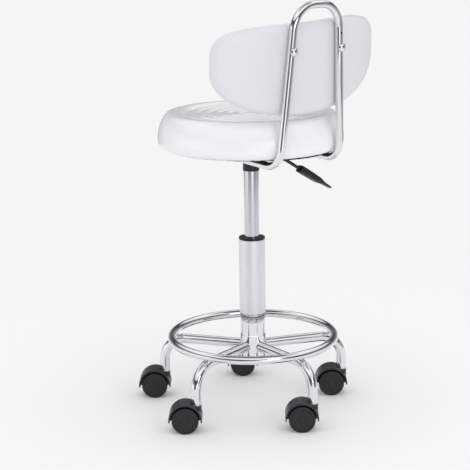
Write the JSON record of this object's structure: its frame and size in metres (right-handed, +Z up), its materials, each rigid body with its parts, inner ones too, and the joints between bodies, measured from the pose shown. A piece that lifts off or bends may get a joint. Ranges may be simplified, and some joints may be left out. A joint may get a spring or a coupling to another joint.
{
  "type": "rolling stylist stool",
  "caption": "Height-adjustable swivel stool with a round padded seat, low backrest on a bent chrome tube, foot ring and twin-wheel casters.",
  "frame": {"origin": "on the floor, under the axis of the column", "axes": "+Z up along the column, -Y the way the sitter faces, +X to the sitter's left"},
  "size_m": [0.4294, 0.4063, 0.7892],
  "materials": {
    "chrome_steel": "polished chrome plate",
    "satin_column": "satin silver",
    "zinc_steel": "bright zinc plate",
    "black_steel": "black powder coat",
    "black_plastic": "fine matte",
    "hood_plastic": "satin black",
    "wheel_plastic": "satin charcoal",
    "black_rubber": "matte",
    "plywood": "raw birch plywood",
    "black_fabric": "non-woven",
    "white_vinyl": "smooth synthetic leather",
    "grey_vinyl": "smooth synthetic leather"
  },
  "bodies": {
    "base": {"hub": "chrome_steel", "leg_1": "chrome_steel", "leg_2": "chrome_steel", "leg_3": "chrome_steel", "leg_4": "chrome_steel", "leg_5": "chrome_steel", "foot_ring": "chrome_steel", "caster_sockets": "zinc_steel", "column_tube": "satin_column", "guide_bush": "black_plastic", "thrust_bearing": "zinc_steel"},
    "spindle": {"piston_rod": "chrome_steel", "piston": "black_plastic", "thrust_race": "zinc_steel", "bump_stop": "black_rubber", "retaining_clip": "zinc_steel"},
    "seat": {"gas_cylinder": "chrome_steel", "mechanism_plate": "black_steel", "lever_pin": "zinc_steel", "seat_board": "plywood", "seat_cushion": "white_vinyl", "dust_cover": "black_fabric", "seat_tee_nuts": "zinc_steel", "seat_screws": "black_steel", "frame_screws": "black_steel", "back_frame": "chrome_steel", "back_panel": "grey_vinyl", "backrest_board": "plywood", "backrest_cushion": "white_vinyl", "backrest_tee_nuts": "zinc_steel", "backrest_bolts": "chrome_steel"},
    "lever": {"lever_rod": "black_steel", "lever_handle": "black_plastic"},
    "valve": {"valve_pin": "zinc_steel"},
    "caster_1": {"caster_1_stem": "zinc_steel", "caster_1_hood": "hood_plastic", "caster_1_axle": "zinc_steel"},
    "caster_1_front": {"caster_1_front_wheel": "wheel_plastic"},
    "caster_1_rear": {"caster_1_rear_wheel": "wheel_plastic"},
    "caster_2": {"caster_2_stem": "zinc_steel", "caster_2_hood": "hood_plastic", "caster_2_axle": "zinc_steel"},
    "caster_2_front": {"caster_2_front_wheel": "wheel_plastic"},
    "caster_2_rear": {"caster_2_rear_wheel": "wheel_plastic"},
    "caster_3": {"caster_3_stem": "zinc_steel", "caster_3_hood": "hood_plastic", "caster_3_axle": "zinc_steel"},
    "caster_3_front": {"caster_3_front_wheel": "wheel_plastic"},
    "caster_3_rear": {"caster_3_rear_wheel": "wheel_plastic"},
    "caster_4": {"caster_4_stem": "zinc_steel", "caster_4_hood": "hood_plastic", "caster_4_axle": "zinc_steel"},
    "caster_4_front": {"caster_4_front_wheel": "wheel_plastic"},
    "caster_4_rear": {"caster_4_rear_wheel": "wheel_plastic"},
    "caster_5": {"caster_5_stem": "zinc_steel", "caster_5_hood": "hood_plastic", "caster_5_axle": "zinc_steel"},
    "caster_5_front": {"caster_5_front_wheel": "wheel_plastic"},
    "caster_5_rear": {"caster_5_rear_wheel": "wheel_plastic"}
  },
  "joints": [
    {"name": "seat_swivel", "type": "hinge", "parent": "base", "child": "spindle", "pos_m": [0, 0, 0.1], "axis": [0, 0, 1], "continuous": true},
    {"name": "seat_height", "type": "slide", "parent": "spindle", "child": "seat", "axis": [0, 0, 1], "range_m": [-0.12, 0]},
    {"name": "lever_lift", "type": "hinge", "parent": "seat", "child": "lever", "pos_m": [-0.036, 0, 0.4935], "axis": [0, 1, 0], "range_deg": [0, 5], "stiffness_Nm_per_rad": 6},
    {"name": "valve_press", "type": "slide", "parent": "seat", "child": "valve", "axis": [0, 0, 1], "range_m": [-0.0035, 0]},
    {"name": "caster_1_swivel", "type": "hinge", "parent": "base", "child": "caster_1", "pos_m": [0.00766, 0.18284, 0.05], "axis": [0, 0, 1], "continuous": true},
    {"name": "caster_1_front_spin", "type": "hinge", "parent": "caster_1", "child": "caster_1_front", "pos_m": [0.02321, 0.17025, 0.025], "axis": [-0.6293, -0.7771, 0], "continuous": true},
    {"name": "caster_1_rear_spin", "type": "hinge", "parent": "caster_1", "child": "caster_1_rear", "pos_m": [0.02321, 0.17025, 0.025], "axis": [-0.6293, -0.7771, 0], "continuous": true},
    {"name": "caster_2_swivel", "type": "hinge", "parent": "base", "child": "caster_2", "pos_m": [-0.17152, 0.06379, 0.05], "axis": [0, 0, 1], "continuous": true},
    {"name": "caster_2_front_spin", "type": "hinge", "parent": "caster_2", "child": "caster_2_front", "pos_m": [-0.15598, 0.0512, 0.025], "axis": [-0.6293, -0.7771, 0], "continuous": true},
    {"name": "caster_2_rear_spin", "type": "hinge", "parent": "caster_2", "child": "caster_2_rear", "pos_m": [-0.15598, 0.0512, 0.025], "axis": [-0.6293, -0.7771, 0], "continuous": true},
    {"name": "caster_3_swivel", "type": "hinge", "parent": "base", "child": "caster_3", "pos_m": [-0.11367, -0.14342, 0.05], "axis": [0, 0, 1], "continuous": true},
    {"name": "caster_3_front_spin", "type": "hinge", "parent": "caster_3", "child": "caster_3_front", "pos_m": [-0.09813, -0.156, 0.025], "axis": [-0.6293, -0.7771, 0], "continuous": true},
    {"name": "caster_3_rear_spin", "type": "hinge", "parent": "caster_3", "child": "caster_3_rear", "pos_m": [-0.09813, -0.156, 0.025], "axis": [-0.6293, -0.7771, 0], "continuous": true},
    {"name": "caster_4_swivel", "type": "hinge", "parent": "base", "child": "caster_4", "pos_m": [0.10127, -0.15243, 0.05], "axis": [0, 0, 1], "continuous": true},
    {"name": "caster_4_front_spin", "type": "hinge", "parent": "caster_4", "child": "caster_4_front", "pos_m": [0.11681, -0.16501, 0.025], "axis": [-0.6293, -0.7771, 0], "continuous": true},
    {"name": "caster_4_rear_spin", "type": "hinge", "parent": "caster_4", "child": "caster_4_rear", "pos_m": [0.11681, -0.16501, 0.025], "axis": [-0.6293, -0.7771, 0], "continuous": true},
    {"name": "caster_5_swivel", "type": "hinge", "parent": "base", "child": "caster_5", "pos_m": [0.17626, 0.04921, 0.05], "axis": [0, 0, 1], "continuous": true},
    {"name": "caster_5_front_spin", "type": "hinge", "parent": "caster_5", "child": "caster_5_front", "pos_m": [0.1918, 0.03663, 0.025], "axis": [-0.6293, -0.7771, 0], "continuous": true},
    {"name": "caster_5_rear_spin", "type": "hinge", "parent": "caster_5", "child": "caster_5_rear", "pos_m": [0.1918, 0.03663, 0.025], "axis": [-0.6293, -0.7771, 0], "continuous": true}
  ],
  "couplings": [
    {"joint": "valve_press", "follows": "lever_lift", "m_per_rad": -0.036}
  ]
}
